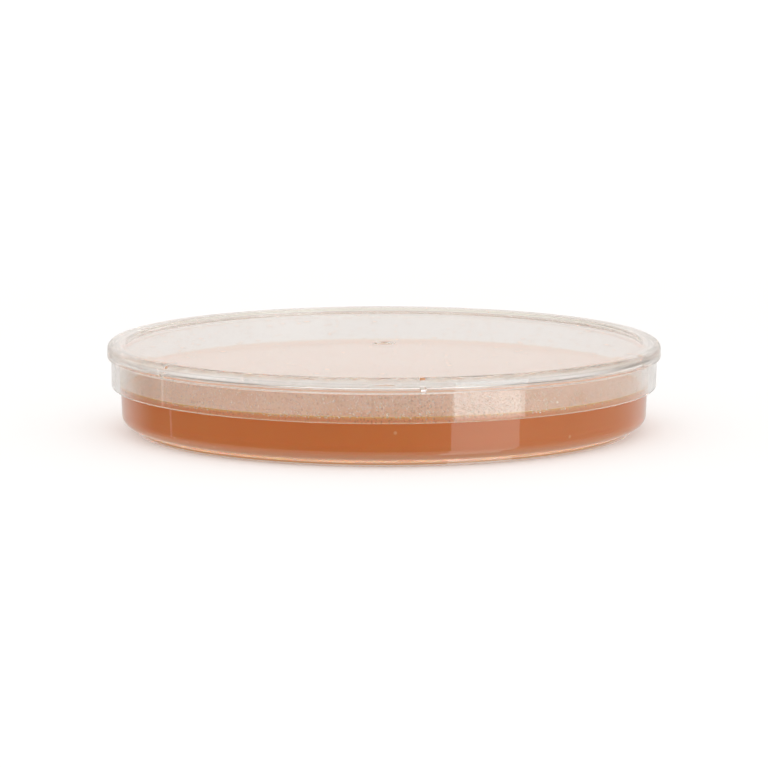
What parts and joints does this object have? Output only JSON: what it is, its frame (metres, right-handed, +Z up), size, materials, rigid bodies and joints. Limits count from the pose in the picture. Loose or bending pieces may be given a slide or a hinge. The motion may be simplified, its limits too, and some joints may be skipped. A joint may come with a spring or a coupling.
{
  "type": "agar petri dish",
  "caption": "Round shallow clear plastic culture dish with a loose overhanging lid, filled to about half its height with orange-brown nutrient agar.",
  "frame": {"origin": "centre of the circle that the foot ring stands on", "axes": "+Z up through the centre of the lid, the axis that every piece is round about"},
  "size_m": [0.0932, 0.0932, 0.015],
  "materials": {
    "base_polystyrene": "clear, glossy, hard moulded plastic",
    "lid_polystyrene": "clear, glossy, hard moulded plastic, with fine condensation inside",
    "agar": "soft wet gel, amber, slightly cloudy, glossy on top"
  },
  "bodies": {
    "root": {"base_dish": "base_polystyrene", "lid": "lid_polystyrene", "agar_gel": "agar"}
  },
  "joints": []
}
